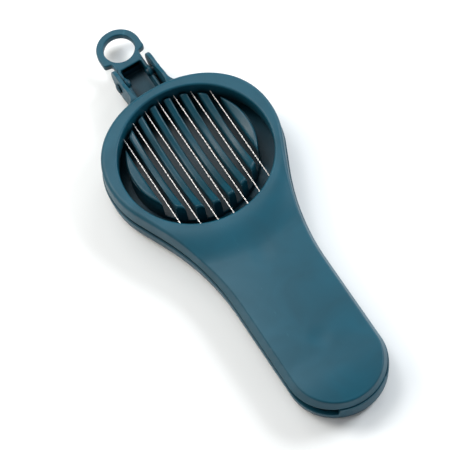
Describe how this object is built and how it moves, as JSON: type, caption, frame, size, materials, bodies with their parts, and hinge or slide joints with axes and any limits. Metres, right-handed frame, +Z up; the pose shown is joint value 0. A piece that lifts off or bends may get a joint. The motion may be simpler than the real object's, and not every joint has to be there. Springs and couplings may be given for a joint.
{
  "type": "egg slicer",
  "caption": "Pliers-type egg slicer: two hinged paddle-shaped shells, a wire-strung cutting opening over a ribbed egg cradle, and a hanging ring.",
  "frame": {"origin": "on the table under the middle of the whole closed object", "axes": "+Z up, +Y along the object towards the hinge and hanging ring, +X to the right seen from the handle"},
  "size_m": [0.0724, 0.1944, 0.0175],
  "materials": {
    "shell_plastic": "satin moulded polypropylene, blue-green",
    "insert_plastic": "moulded, slightly darker",
    "steel_wire": "bright drawn stainless wire",
    "ferrule_metal": "crimped ferrule"
  },
  "bodies": {
    "base": {"base_handle": "shell_plastic", "egg_cradle": "shell_plastic", "hinge_pin_left": "insert_plastic", "hinge_pin_right": "insert_plastic"},
    "top": {"top_handle": "shell_plastic", "clamp_ring": "insert_plastic", "cutting_wire_1": "steel_wire", "cutting_wire_2": "steel_wire", "cutting_wire_3": "steel_wire", "cutting_wire_4": "steel_wire", "cutting_wire_5": "steel_wire", "cutting_wire_6": "steel_wire", "cutting_wire_7": "steel_wire", "wire_crimps_front": "ferrule_metal", "wire_crimps_rear": "ferrule_metal"}
  },
  "joints": [
    {"name": "handle_hinge", "type": "hinge", "parent": "base", "child": "top", "pos_m": [0, 0.07255, 0.0072], "axis": [-1, 0, 0], "range_deg": [0, 120]}
  ]
}
